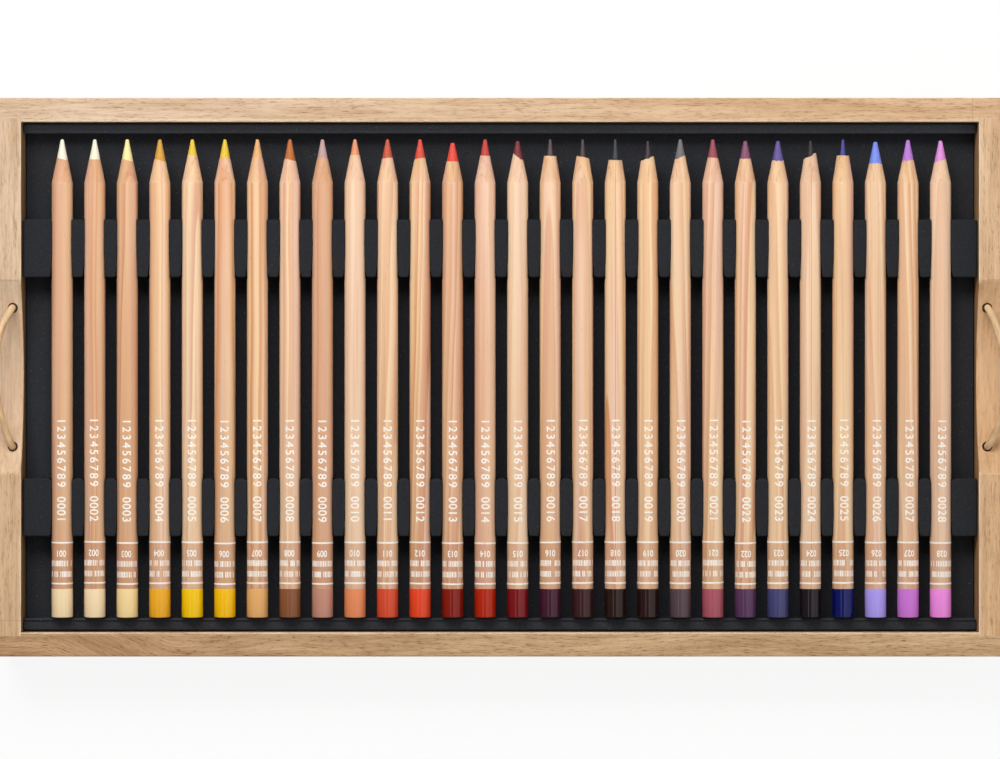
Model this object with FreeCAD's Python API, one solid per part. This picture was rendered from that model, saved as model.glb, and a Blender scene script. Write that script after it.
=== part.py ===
"""Shallow oak drawer tray that holds a row of colour pencils in a dark foam insert.

The tray lies flat, with its rim up. Its origin is the middle of its underside. +X runs along the
row of pencils, +Y points the way the pencil tips point, and +Z is up. Lengths are in millimetres.
"""
import FreeCAD, Part
import math
import os

Vector = FreeCAD.Vector
UP = Vector(0, 0, 1)
ALONG_Y = Vector(0, 1, 0)
ALONG_X = Vector(1, 0, 0)
ORIGIN = Vector(0, 0, 0)

# Wooden frame: two long rails, with two end boards let in between them. Its inside is sized
# below, from the pencils and the foam round them.
tray_height = 24.0
board_thickness = 8.8
housing_depth = 1.3
edge_round = 0.45

# Bottom panel, held in a groove in each rail and butted to the end boards
panel_thickness = 4.0
panel_above_underside = 4.0
groove_depth = 4.0
panel_play = 0.4

# Finger dip in the top edge of each end board
dip_chord = 71.0
dip_depth = 7.7

# Cord handles: a loop over each dip, its two ends knotted in pockets in the underside
cord_diameter = 2.6
cord_hole_diameter = 3.3
cord_hole_spacing = 50.5
cord_hole_inset = 3.5
cord_stand = 2.0
cord_swivel_gap = 0.45
knot_diameter = 4.9
knot_pocket_diameter = 5.5
knot_pocket_depth = 6.0
knot_seat_gap = 0.1

# Foam insert, in five glued strips
foam_gap = 0.3
foam_floor_thickness = 4.5
comb_height = 8.9
comb_depth = 21.0
tip_comb_from_middle = 46.9
cap_comb_from_middle = 47.4
notch_floor_height = 2.7
tooth_root_above_notch_floor = 1.5
notch_clearance = 0.15
ledge_height = 6.4
back_ledge_depth = 3.3
front_ledge_depth = 4.5

# Pencils, and the room round the row of them
pencil_count = 28
pencil_pitch = 11.86
pencil_diameter = 7.7
pencil_length = 175.0
pencil_end_gap = 0.4
pencil_tip_gap = 1.6
side_room = 13.89
row_right_of_middle = 0.5
pencil_end_round = 0.6
sharpened_length = 16.8
core_diameter = 3.8
bare_core_length = 7.3
point_diameter = 1.2
point_round = 0.3

# Some of the dark pencils have a thin core, which stands out of a flat collar of wood
thin_core_numbers = (16, 17, 18, 19, 24, 25)
thin_core_diameter = 2.1
thin_bare_core_length = 6.6
thin_point_diameter = 0.9
collar_diameter = 4.4

# Long cuts run past the faces that they open
overrun = 1.0

# Route of each loop of cord, from its hole on the tip side to its hole on the cap side.
# Each point gives its distance out from the holes, its place along Y and its height over the
# first point. The two cords lie a little differently, as soft cords do.
half_spacing = cord_hole_spacing / 2
left_loop_route = [
    (0.0, half_spacing, 0.0),
    (3.5, 18.4, 2.9),
    (5.9, 7.2, 4.5),
    (5.2, -7.4, 4.3),
    (2.7, -17.8, 2.5),
    (0.0, -half_spacing, 0.0),
]
right_loop_route = [
    (0.0, half_spacing, 0.0),
    (2.9, 18.2, 2.5),
    (5.5, 7.6, 4.2),
    (6.3, -7.2, 4.6),
    (3.6, -17.6, 2.9),
    (0.0, -half_spacing, 0.0),
]

# An arc of the cord takes this share of the shorter run beside it
cord_arc_share = 0.45

# Sizes worked out from the ones above
row_width = (pencil_count - 1) * pencil_pitch
inner_width = row_width + 2 * side_room
pencil_bay = pencil_end_gap + pencil_length + pencil_tip_gap
inner_depth = 2 * foam_gap + front_ledge_depth + pencil_bay + back_ledge_depth
outer_width = inner_width + 2 * board_thickness
outer_depth = inner_depth + 2 * board_thickness
panel_top = panel_above_underside + panel_thickness
foam_floor = panel_top + foam_floor_thickness
notch_radius = pencil_diameter / 2 + notch_clearance
pencil_axis_height = foam_floor + notch_floor_height + notch_radius
front_ledge_edge = -inner_depth / 2 + foam_gap + front_ledge_depth
pencil_end_y = front_ledge_edge + pencil_end_gap
hole_x = inner_width / 2 + cord_hole_inset
dip_radius = ((dip_chord / 2) ** 2 + dip_depth ** 2) / (2 * dip_depth)
dip_centre_height = tray_height - dip_depth + dip_radius
dip_height_at_hole = dip_centre_height - math.sqrt(dip_radius ** 2 - half_spacing ** 2)
swivel_height = dip_height_at_hole + cord_stand


def block(x_range, y_range, z_range):
    """A box between three pairs of limits."""
    corner = Vector(x_range[0], y_range[0], z_range[0])
    size = [limits[1] - limits[0] for limits in (x_range, y_range, z_range)]
    return Part.makeBox(size[0], size[1], size[2], corner)


def centred(length):
    """The two limits of a length that is centred on zero."""
    return (-length / 2, length / 2)


def eased(shape, wanted):
    """The shape with the edges that wanted picks rounded over."""
    edges = [edge for edge in shape.Edges if wanted(edge)]
    return shape.makeFillet(edge_round, edges)


def lies_on_top(edge):
    """True for an edge in the top face of the frame."""
    box = edge.BoundBox
    return abs(box.ZMin - tray_height) < edge_round and abs(box.ZMax - tray_height) < edge_round


def save(shape, node):
    """Write one node and say what it holds."""
    shape.exportStep("parts/" + node + ".step")
    print(node, "solids", len(shape.Solids), "volume", round(shape.Volume, 1), "valid", shape.isValid())


# Rails and end boards
def rail(side):
    """A long rail. side is 1 for the back rail and -1 for the front rail."""
    near = side * inner_depth / 2
    far = side * outer_depth / 2
    body = block(centred(outer_width), sorted((near, far)), (0, tray_height))
    housing_floor = near + side * housing_depth
    housing_reach = near - side * overrun
    for end in (-1, 1):
        ends = sorted((end * inner_width / 2, end * (outer_width / 2 + overrun)))
        housing_y = sorted((housing_reach, housing_floor))
        body = body.cut(block(ends, housing_y, (-overrun, tray_height + overrun)))
    groove_y = sorted((near - side * overrun, near + side * groove_depth))
    groove = block(centred(inner_width), groove_y, (panel_above_underside, panel_top))
    body = body.cut(groove)

    def long_or_outer(edge):
        box = edge.BoundBox
        along_x = box.XLength > inner_width / 2 and lies_on_top(edge)
        upright = box.ZLength > tray_height / 2 and abs(abs(box.YMin) - outer_depth / 2) < edge_round
        outer_end = lies_on_top(edge) and box.YLength > housing_depth
        outer_end = outer_end and abs(abs(box.XMin) - outer_width / 2) < edge_round
        return along_x or upright or outer_end

    return eased(body, long_or_outer)


def end_board(side):
    """An end board with its finger dip, cord holes and knot pockets. side is 1 on the right."""
    near = side * inner_width / 2
    far = side * outer_width / 2
    length = inner_depth + 2 * housing_depth
    body = block(sorted((near, far)), centred(length), (0, tray_height))
    dip_start = Vector(min(near, far) - overrun, 0, dip_centre_height)
    dip = Part.makeCylinder(dip_radius, board_thickness + 2 * overrun, dip_start, ALONG_X)
    body = body.cut(dip)

    def rim_edge(edge):
        box = edge.BoundBox
        return box.YLength > dip_depth and box.ZMin > tray_height - dip_depth - edge_round

    body = eased(body, rim_edge)
    for y in (-half_spacing, half_spacing):
        foot = Vector(side * hole_x, y, -overrun)
        hole = Part.makeCylinder(cord_hole_diameter / 2, tray_height + 2 * overrun, foot, UP)
        pocket = Part.makeCylinder(knot_pocket_diameter / 2, knot_pocket_depth + overrun, foot, UP)
        body = body.cut(hole.fuse(pocket))
    return body


def bottom_panel():
    """The panel that closes the tray under the foam."""
    depth = inner_depth + 2 * (groove_depth - panel_play)
    return block(centred(inner_width), centred(depth), (panel_above_underside, panel_top))


# Foam insert
def foam_strip(y_range, height):
    """A strip of foam that lies on the foam floor from one end board to the other."""
    width = inner_width - 2 * foam_gap
    return block(centred(width), y_range, (foam_floor, foam_floor + height))


def pencil_x(index):
    """The X of a pencil's middle, counted from 0 at the left."""
    return row_right_of_middle + index * pencil_pitch - row_width / 2


def foam_comb(middle):
    """A foam comb with one round-bottomed notch for each pencil: a base strip and its teeth."""
    front = middle - comb_depth / 2
    comb = foam_strip((front, front + comb_depth), comb_height)
    notches = []
    top = foam_floor + comb_height + overrun
    for index in range(pencil_count):
        x = pencil_x(index)
        start = Vector(x, front - overrun, pencil_axis_height)
        length = comb_depth + 2 * overrun
        seat = Part.makeCylinder(notch_radius, length, start, ALONG_Y)
        mouth_x = (x - notch_radius, x + notch_radius)
        mouth = block(mouth_x, (start.y, start.y + length), (pencil_axis_height, top))
        notches.append(seat.fuse(mouth).removeSplitter())
    notched = comb.cut(notches)
    root = notch_floor_height + tooth_root_above_notch_floor
    base = notched.common(foam_strip((front, front + comb_depth), root))
    teeth = notched.cut(base)
    return Part.makeCompound(base.Solids + teeth.Solids)


# Cord handles
def rounded_route(points):
    """A wire of straight runs joined by tangent arcs, and the radius of each arc."""
    edges = []
    radii = []
    start = points[0]
    for before, corner, after in zip(points, points[1:], points[2:]):
        arriving = (corner - before).normalize()
        leaving = (after - corner).normalize()
        half_turn = arriving.getAngle(leaving) / 2
        setback = cord_arc_share * min((corner - before).Length, (after - corner).Length)
        radius = setback / math.tan(half_turn)
        inward = (leaving - arriving).normalize()
        middle = corner + inward * (radius / math.cos(half_turn) - radius)
        arc_start = corner - arriving * setback
        arc_end = corner + leaving * setback
        edges.append(Part.LineSegment(start, arc_start).toShape())
        edges.append(Part.Arc(arc_start, middle, arc_end).toShape())
        radii.append(radius)
        start = arc_end
    edges.append(Part.LineSegment(start, points[-1]).toShape())
    return Part.Wire(edges), radii


def handle_loop(side, route):
    """The free stretch of a cord, from the swivel point over one hole to that over the other."""
    points = [Vector(side * (hole_x + out), along, swivel_height + up) for out, along, up in route]
    path, radii = rounded_route(points)
    section_edge = Part.Circle(points[0], points[1] - points[0], cord_diameter / 2).toShape()
    tube = path.makePipeShell([Part.Wire([section_edge])], True, False)
    swept = math.pi * cord_diameter ** 2 / 4 * path.Length
    print("cord length", round(path.Length, 2), "radii", [round(radius, 1) for radius in radii])
    print("tube volume over section times length", round(tube.Volume / swept, 4))
    for end in (points[0], points[-1]):
        tube = tube.cut(Part.makeSphere(cord_diameter / 2 + cord_swivel_gap, end))
    return tube


def handle_ends(side):
    """The two ends of a cord: each runs down through its hole to a knot in its pocket."""
    drop = math.sqrt((knot_diameter / 2) ** 2 - (cord_hole_diameter / 2) ** 2)
    knot_height = knot_pocket_depth - drop - knot_seat_gap
    ends = []
    for y in (-half_spacing, half_spacing):
        knot_middle = Vector(side * hole_x, y, knot_height)
        swivel = Vector(side * hole_x, y, swivel_height)
        leg = Part.makeCylinder(cord_diameter / 2, swivel_height - knot_height, knot_middle, UP)
        top = Part.makeSphere(cord_diameter / 2, swivel)
        knot = Part.makeSphere(knot_diameter / 2, knot_middle)
        ends.append(leg.fuse([top, knot]).removeSplitter())
    return Part.makeCompound(ends)


# Pencils
def turned(points, arcs):
    """A solid turned about the Y axis. points are (radius, y), and arcs maps a start to its middle."""
    corners = [Vector(radius, y, 0) for radius, y in points]
    edges = []
    for index, corner in enumerate(corners):
        following = corners[(index + 1) % len(corners)]
        if index in arcs:
            radius, y = arcs[index]
            edges.append(Part.Arc(corner, Vector(radius, y, 0), following).toShape())
        else:
            edges.append(Part.LineSegment(corner, following).toShape())
    return Part.Face(Part.Wire(edges)).revolve(ORIGIN, ALONG_Y, 360)


def round_middle(radius, y, size, towards):
    """The middle of a quarter round whose centre is at radius and y."""
    reach = size * math.sqrt(2) / 2
    return (radius + reach, y + towards * reach)


def pencil(index):
    """A pencil: a round wooden casing and the pigment core that shows at its point."""
    radius = pencil_diameter / 2
    thin = index + 1 in thin_core_numbers
    core_radius = (thin_core_diameter if thin else core_diameter) / 2
    point_radius = (thin_point_diameter if thin else point_diameter) / 2
    tip = pencil_end_y + pencil_length
    wood_end = tip - (thin_bare_core_length if thin else bare_core_length)
    rounding = pencil_end_round
    end_y = pencil_end_y
    casing_points = [
        (core_radius, end_y),
        (radius - rounding, end_y),
        (radius, end_y + rounding),
        (radius, tip - sharpened_length),
    ]
    if thin:
        casing_points.append((collar_diameter / 2, wood_end))
    casing_points.append((core_radius, wood_end))
    casing_arcs = {1: round_middle(radius - rounding, end_y + rounding, rounding, -1)}
    casing = turned(casing_points, casing_arcs)
    core_points = [
        (0, end_y),
        (core_radius, end_y),
        (core_radius, wood_end),
        (point_radius, tip - point_round),
        (point_radius - point_round, tip),
        (0, tip),
    ]
    core_arcs = {3: round_middle(point_radius - point_round, tip - point_round, point_round, 1)}
    core = turned(core_points, core_arcs)
    both = Part.makeCompound([casing, core])
    both.translate(Vector(pencil_x(index), 0, pencil_axis_height))
    return both


def foam_edge(side):
    """The Y of the foam's edge beside a rail."""
    return side * (inner_depth / 2 - foam_gap)


os.makedirs("parts", exist_ok=True)

save(rail(-1), "front_rail")
save(rail(1), "back_rail")
save(end_board(-1), "left_end_board")
save(end_board(1), "right_end_board")
save(bottom_panel(), "bottom_panel")

foam_width = inner_width - 2 * foam_gap
foam_depth = inner_depth - 2 * foam_gap
save(block(centred(foam_width), centred(foam_depth), (panel_top, foam_floor)), "foam_floor")
back_edge = foam_edge(1)
save(foam_strip((back_edge - back_ledge_depth, back_edge), ledge_height), "foam_back_ledge")
front_edge = foam_edge(-1)
save(foam_strip((front_edge, front_edge + front_ledge_depth), ledge_height), "foam_front_ledge")
save(foam_comb(tip_comb_from_middle), "foam_tip_comb")
save(foam_comb(-cap_comb_from_middle), "foam_cap_comb")

save(handle_loop(-1, left_loop_route), "left_handle_loop")
save(handle_loop(1, right_loop_route), "right_handle_loop")
save(handle_ends(-1), "left_handle_ends")
save(handle_ends(1), "right_handle_ends")

for number in range(pencil_count):
    save(pencil(number), "pencil_%02d" % (number + 1))
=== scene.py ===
# %% [markdown]
# # A drawer tray of coloured pencils
#
# The real object is a shallow oak drawer, 366 mm long. Dark foam lines it, and two notched foam
# combs cradle 28 coloured pencils. A leather cord is looped over a finger dip at each end.
#
# The frame that this script loads already has every part at its true size and place. So the work
# here is the finish: wood that has grain, foam with soft edges, sharpened points, glossy dipped
# ends, printing on a round barrel, and cords that bend like cords.

# %% Load the frame
import math
import random
from collections import namedtuple

import bpy
import numpy as np
from mathutils import Matrix, Vector


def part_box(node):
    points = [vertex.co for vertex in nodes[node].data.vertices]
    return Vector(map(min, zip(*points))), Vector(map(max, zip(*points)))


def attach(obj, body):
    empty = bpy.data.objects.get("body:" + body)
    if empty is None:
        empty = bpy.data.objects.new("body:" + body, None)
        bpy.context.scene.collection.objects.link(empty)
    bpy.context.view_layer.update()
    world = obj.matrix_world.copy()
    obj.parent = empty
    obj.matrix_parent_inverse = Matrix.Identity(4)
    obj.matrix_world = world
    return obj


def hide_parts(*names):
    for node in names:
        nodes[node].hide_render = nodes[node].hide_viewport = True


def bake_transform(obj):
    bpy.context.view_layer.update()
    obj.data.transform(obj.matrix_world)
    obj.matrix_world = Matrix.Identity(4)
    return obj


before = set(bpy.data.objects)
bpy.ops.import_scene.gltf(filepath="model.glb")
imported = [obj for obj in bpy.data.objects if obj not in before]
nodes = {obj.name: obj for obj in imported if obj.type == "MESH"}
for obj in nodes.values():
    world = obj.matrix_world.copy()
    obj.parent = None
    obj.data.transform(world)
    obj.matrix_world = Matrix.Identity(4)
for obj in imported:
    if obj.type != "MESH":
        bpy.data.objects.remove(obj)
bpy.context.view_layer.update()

# %% [markdown]
# ## Sizes
#
# All sizes are in metres, and most of them are read from the frame. A pencil is round, so its box
# gives its radius and its axis. That way nothing here has to be fitted by eye.

# %% Sizes read from the frame
MM = 0.001
pencil_nodes = sorted(name for name in nodes if name.startswith("pencil_"))
first_low, first_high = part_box(pencil_nodes[0])
barrel_radius = (first_high.x - first_low.x) / 2
axis_height = (first_high.z + first_low.z) / 2
butt_end = first_low.y
tip_end = first_high.y


def axis_x(name):
    """Where a pencil's axis is along the row."""
    low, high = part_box(name)
    return (low.x + high.x) / 2


pencil_pitch = axis_x(pencil_nodes[1]) - axis_x(pencil_nodes[0])
rim_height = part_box("back_rail")[1].z
print("barrel radius", round(barrel_radius / MM, 2), "mm, pitch", round(pencil_pitch / MM, 2), "mm")

# %% [markdown]
# ## The camera
#
# The tray was photographed from straight above, with a long lens, so hardly any of its walls
# shows. Blender's camera looks down its own -Z axis, so it needs no turn at all. The focal length
# follows from the distance and from how wide the picture is at the rim.

# %% Camera
camera_above_rim = 1.215
camera_y = -0.84 * MM
picture_width_at_rim = 0.3632
sensor_width = 36.0

camera = bpy.data.objects.new("camera", bpy.data.cameras.new("camera"))
camera.data.sensor_width = sensor_width
camera.data.lens = sensor_width * camera_above_rim / picture_width_at_rim
camera.location = (0, camera_y, rim_height + camera_above_rim)
bpy.context.scene.collection.objects.link(camera)
bpy.context.scene.camera = camera
bpy.context.scene.view_settings.view_transform = "Standard"
print("lens", round(camera.data.lens, 1), "mm")

# %% [markdown]
# ## Helpers
#
# A material and a Geometry Nodes tree are built alike: add a node, set its inputs, link it. One
# helper does all three, so that a recipe reads from top to bottom. Another turns a colour as a
# screen shows it, 0 to 255, into the linear values that shaders work in.
#
# The pattern in a finish is always made the same way: the coordinates are scaled to so many
# features per metre along each axis, and soft noise is read there. Long thin features look like
# grain, and even ones like mottle.

# %% Helpers for node trees


def plug(tree, made, inputs):
    """Gives a node its inputs, by name or number: a value, or another node's socket to link."""
    for key, value in inputs.items():
        if isinstance(value, bpy.types.NodeSocket):
            tree.links.new(value, made.inputs[key])
        else:
            made.inputs[key].default_value = value


def node(tree, kind, inputs=None, **settings):
    """Adds a node with its settings and inputs."""
    made = tree.nodes.new(kind)
    for key, value in settings.items():
        setattr(made, key, value)
    plug(tree, made, inputs or {})
    return made


def split(tree, vector):
    """The x, y and z of a vector."""
    return node(tree, "ShaderNodeSeparateXYZ", {0: vector}).outputs


def combined(tree, x, y=0.0, z=0.0):
    """A vector from its x, y and z."""
    return node(tree, "ShaderNodeCombineXYZ", {0: x, 1: y, 2: z}).outputs[0]


def maths(tree, operation, first, second=0.5):
    """One sum on one or two values."""
    return node(tree, "ShaderNodeMath", {0: first, 1: second}, operation=operation).outputs[0]


def times(tree, first, second):
    return maths(tree, "MULTIPLY", first, second)


def plus(tree, first, second):
    return maths(tree, "ADD", first, second)


def minus(tree, first, second):
    return maths(tree, "SUBTRACT", first, second)


# %% Helpers for colours


def colour(red, green, blue):
    """A screen colour, 0 to 255, as linear red, green, blue and alpha."""
    shares = [value / 255 for value in (red, green, blue)]
    return (*[s / 12.92 if s <= 0.04045 else ((s + 0.055) / 1.055) ** 2.4 for s in shares], 1.0)


def scaled(tone, share, lift=0.0):
    """A linear colour times a share, plus a lift, up to full white."""
    return (*[min(1.0, value * share + lift) for value in tone[:3]], 1.0)


print("middle grey is", round(colour(128, 128, 128)[0], 3), "in linear light")

# %% Helpers for materials


def finish(name):
    """A new material: its tree, its Principled shader, and its object coordinates."""
    made = bpy.data.materials.new(name)
    made.use_nodes = True
    tree = made.node_tree
    tree.nodes.clear()
    surface = node(tree, "ShaderNodeBsdfPrincipled")
    node(tree, "ShaderNodeOutputMaterial", {"Surface": surface.outputs[0]})
    place = node(tree, "ShaderNodeTexCoord").outputs["Object"]
    return made, tree, surface, place


def stretched(tree, place, scale, shift=(0, 0, 0), turn=(0, 0, 0)):
    """Coordinates scaled by so many features per metre, so that grain can be long and thin."""
    return node(
        tree,
        "ShaderNodeMapping",
        {"Vector": place, "Location": shift, "Rotation": turn, "Scale": scale},
    ).outputs[0]


def noise(tree, place, detail=2.0, roughness=0.5, distortion=0.0):
    """Soft noise of about 0 to 1, one feature per unit of the coordinates."""
    return node(
        tree,
        "ShaderNodeTexNoise",
        {
            "Vector": place,
            "Scale": 1.0,
            "Detail": detail,
            "Roughness": roughness,
            "Distortion": distortion,
        },
    ).outputs["Fac"]


def grain(tree, place, scale, detail=2.0, roughness=0.5, distortion=0.0, shift=(0, 0, 0)):
    """Noise with so many features per metre along each axis."""
    return noise(tree, stretched(tree, place, scale, shift), detail, roughness, distortion)


def between(tree, value, low, high, to_low=0.0, to_high=1.0):
    """Maps value from low..high to to_low..to_high and holds it there."""
    return node(
        tree,
        "ShaderNodeMapRange",
        {"Value": value, 1: low, 2: high, 3: to_low, 4: to_high},
        interpolation_type="SMOOTHSTEP",
    ).outputs[0]


def mixed(tree, share, first, second, blend_type="MIX"):
    """Mixes two colours by a share."""
    return node(
        tree,
        "ShaderNodeMix",
        {0: share, 6: first, 7: second},
        data_type="RGBA",
        blend_type=blend_type,
    ).outputs[2]


def tinted(tree, tone, tint):
    """A colour times a linear tint."""
    return mixed(tree, 1.0, tone, tint, "MULTIPLY")


def bumped(tree, surface, height, depth, strength=1.0):
    """Gives the surface fine relief from a height of 0 to 1 that is depth metres deep."""
    relief = node(
        tree, "ShaderNodeBump", {"Height": height, "Distance": depth, "Strength": strength}
    )
    plug(tree, surface, {"Normal": relief.outputs[0]})


# %% Helpers for meshes


def sharpened(mesh, limit=35):
    """Shades a mesh smooth, but for edges that turn by more than so many degrees."""
    mesh.shade_smooth()
    mesh.set_sharp_from_angle(angle=math.radians(limit))


def skin(name, rings, along, finishes, bands=()):
    """A closed mesh over rings of points, with a cap at each end.

    Its UV map runs round the ring from 0 to 1 and along it in metres. bands gives the number of
    the finish for each stretch between two rings.
    """
    rings = np.asarray(rings)
    count, around = rings.shape[:2]
    sides = (count - 1) * around
    faces = []
    for here in range(0, sides, around):
        there = here + around
        for j in range(around):
            k = (j + 1) % around
            faces.append((here + j, here + k, there + k, there + j))
    faces.append(tuple(reversed(range(around))))
    faces.append(tuple(range(sides, count * around)))
    mesh = bpy.data.meshes.new(name)
    mesh.from_pydata(rings.reshape(-1, 3).tolist(), [], faces)
    mapped = mesh.uv_layers.new(name="UVMap").data
    for number, face in enumerate(mesh.polygons):
        seam = number % around == around - 1 and number < sides
        for loop in face.loop_indices:
            ring_number, step = divmod(mesh.loops[loop].vertex_index, around)
            mapped[loop].uv = (1.0 if seam and step == 0 else step / around, along[ring_number])
    for made in finishes:
        mesh.materials.append(made)
    for number, face in enumerate(mesh.polygons):
        face.material_index = bands[number // around] if bands and number < sides else 0
    sharpened(mesh)
    return placed(name, mesh)


def placed(name, mesh):
    """Puts a mesh into the scene as an object at the origin, with its faces pointing outwards."""
    made = bpy.data.objects.new(name, mesh)
    bpy.context.scene.collection.objects.link(made)
    face_outwards(mesh)
    return made


def face_outwards(mesh):
    """Turns the faces of a closed mesh outwards, by the sign of its volume."""
    mesh.calc_loop_triangles()
    corners = np.array([v.co for v in mesh.vertices])
    triangles = np.array([t.vertices for t in mesh.loop_triangles])
    a, b, c = (corners[triangles[:, i]] for i in range(3))
    if np.einsum("ij,ij->i", a, np.cross(b, c)).sum() < 0:
        mesh.flip_normals()


def in_the_tray(piece, node_name):
    """Fixes a piece to the tray, in place of the frame's plain one."""
    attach(piece, "tray")
    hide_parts(node_name)


# %% [markdown]
# ## The cords
#
# A round leather cord comes up out of a hole, stands free over the finger dip in a long low loop,
# and goes down into the next hole. A cord takes a smooth line by itself, so its route is a few
# given points, and a NURBS spline that they pull on gives the line. The tube is skinned
# round that line, which gives it a UV map that runs along the leather.

# %% Cord routes
cord_diameter = 2.6 * MM
hole_x = 177.5 * MM
hole_y = 25.25 * MM
swivel_height = 22.105 * MM
mouth_height = 20.105 * MM
hole_play = 0.3 * MM

# Each point is how far out from the holes, along the tray and up from the swivel the cord lies,
# in metres.
left_route = [
    (0.0, 0.02525, 0.0),
    (0.0035, 0.0184, 0.0029),
    (0.0059, 0.0072, 0.0045),
    (0.0052, -0.0074, 0.0043),
    (0.0027, -0.0178, 0.0025),
    (0.0, -0.02525, 0.0),
]
right_route = [
    (0.0, 0.02525, 0.0),
    (0.0029, 0.0182, 0.0025),
    (0.0055, 0.0076, 0.0042),
    (0.0063, -0.0072, 0.0046),
    (0.0036, -0.0176, 0.0029),
    (0.0, -0.02525, 0.0),
]
mouths = [(hole_play / 2, y, mouth_height - swivel_height) for y in (hole_y, -hole_y)]


def cord_points(route, side):
    """The route in the frame, with the two points where it comes out of its holes."""
    places = [mouths[0], *route, mouths[1]]
    return [(side * (hole_x + out), y, swivel_height + up) for out, y, up in places]


print(len(left_route), "points pull on the left cord,", len(right_route), "on the right one")

# %% The smooth line, and a tube round it
spline_steps = 10


def smooth_line(points):
    """A NURBS spline with these control points, read back as the points of a line."""
    curve = bpy.data.curves.new("route", "CURVE")
    curve.dimensions = "3D"
    curve.resolution_u = spline_steps
    spline = curve.splines.new("NURBS")
    spline.points.add(len(points) - 1)
    for control, place in zip(spline.points, points):
        control.co = (*place, 1)
    spline.order_u = 3
    spline.use_endpoint_u = True
    holder = bpy.data.objects.new("route", curve)
    line = bpy.data.meshes.new_from_object(holder)
    found = np.array([v.co for v in line.vertices])
    bpy.data.objects.remove(holder)
    bpy.data.meshes.remove(line)
    return found


def tube_rings(line, radius, sides):
    """Rings round a line that don't twist, and how far along each of them is."""
    steps = np.diff(line, axis=0)
    along = np.concatenate([[0], np.cumsum(np.linalg.norm(steps, axis=1))])
    heading = np.gradient(line, axis=0)
    heading /= np.linalg.norm(heading, axis=1)[:, None]
    side = np.cross(heading[0], [1.0, 0.3, 0.2])
    rings = []
    angles = np.linspace(0, 2 * math.pi, sides, endpoint=False)[:, None]
    for place, ahead in zip(line, heading):
        side = side - ahead * (side @ ahead)
        side /= np.linalg.norm(side)
        other = np.cross(ahead, side)
        rings.append(place + radius * (np.cos(angles) * side + np.sin(angles) * other))
    return np.array(rings), along


# %% [markdown]
# ### Leather
#
# The cord is natural vegetable-tanned leather, cut round and polished by hands. Close up it has
# faint lengthwise streaks and a darker mottle, and a soft sheen. The streaks read the UV map, so
# they follow the cord however it bends.

# %% Leather


def leather():
    """Two tones of tan with darker streaks along the cord."""
    made, tree, surface, _ = finish("natural_leather")
    along = node(tree, "ShaderNodeUVMap").outputs[0]
    mottle = grain(tree, along, (3, 160, 1), 3)
    streak = grain(tree, along, (22, 260, 1), 2)
    clouded = between(tree, mottle, 0.35, 0.7)
    tone = mixed(tree, clouded, colour(232, 196, 152), colour(205, 163, 118))
    tone = mixed(tree, between(tree, streak, 0.5, 0.8, 0, 0.5), tone, colour(150, 110, 74))
    plug(tree, surface, {"Base Color": tone, "Roughness": 0.5, "Specular IOR Level": 0.35})
    bumped(tree, surface, streak, 0.06 * MM)
    return made


cord_leather = leather()

# %% The loops over the finger dips
tube_sides = 24


def cord_loop(name, route, side):
    """One loop, built where it lies; the frame's plain loop is hidden."""
    points = cord_points(route, side)
    line = smooth_line(points)
    rings, along = tube_rings(line, cord_diameter / 2, tube_sides)
    loop = skin(name, rings, along, [cord_leather])
    tray_side = "left_handle" if side < 0 else "right_handle"
    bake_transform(loop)
    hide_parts(tray_side + "_loop")
    print(name, "is", round(along[-1] / MM, 1), "mm of cord")


cord_loop("left_cord_loop", left_route, -1)
cord_loop("right_cord_loop", right_route, 1)

# %% [markdown]
# ### The hidden ends of the cords
#
# Each end runs down through the board, and a tight knot in a pocket in the underside holds it.
# The leg leans a little in its hole, because the loop pulls it over. The knot is one and a half
# tight turns of the same leather.

# %% Legs and knots
knot_turn_radius = 1.15 * MM
knot_cord_radius = 1.25 * MM
knot_height = 4.2 * MM
knot_climb = 1.5 * MM
knot_turns = 1.5
knot_steps = 14
leg_heights = (14 * MM, 9 * MM, 5.2 * MM)


def leg_line(side, hole):
    """Down from the mouth of a hole, then round into the knot."""
    x, y = side * hole_x, hole * hole_y
    top = (x + side * hole_play / 2, y, mouth_height + 0.2 * MM)
    down = [top] + [(x, y, height) for height in leg_heights]
    for step in range(knot_steps + 1):
        share = step / knot_steps
        angle = 2 * math.pi * knot_turns * share
        reach = knot_turn_radius * min(1, 3 * share)
        place = (
            x + reach * math.cos(angle),
            y + reach * math.sin(angle),
            knot_height - knot_climb * (share - 0.2),
        )
        down.append(place)
    return smooth_line(down)


def joined(name, parts):
    """Joins a few meshes into one object."""
    with bpy.context.temp_override(active_object=parts[0], selected_editable_objects=parts):
        bpy.ops.object.join()
    parts[0].name = name
    return parts[0]


def cord_ends(name, side):
    """Both legs and knots of one cord, as one piece."""
    parts = []
    for hole in (1, -1):
        rings, along = tube_rings(leg_line(side, hole), knot_cord_radius, tube_sides)
        parts.append(skin(f"{name}_{len(parts)}", rings, along, [cord_leather]))
    made = joined(name, parts)
    in_the_tray(made, name.replace("cord", "handle"))
    print(name, "has", len(parts), "legs, each with a knot")


for side, name in ((-1, "left_cord_ends"), (1, "right_cord_ends")):
    cord_ends(name, side)
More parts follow.
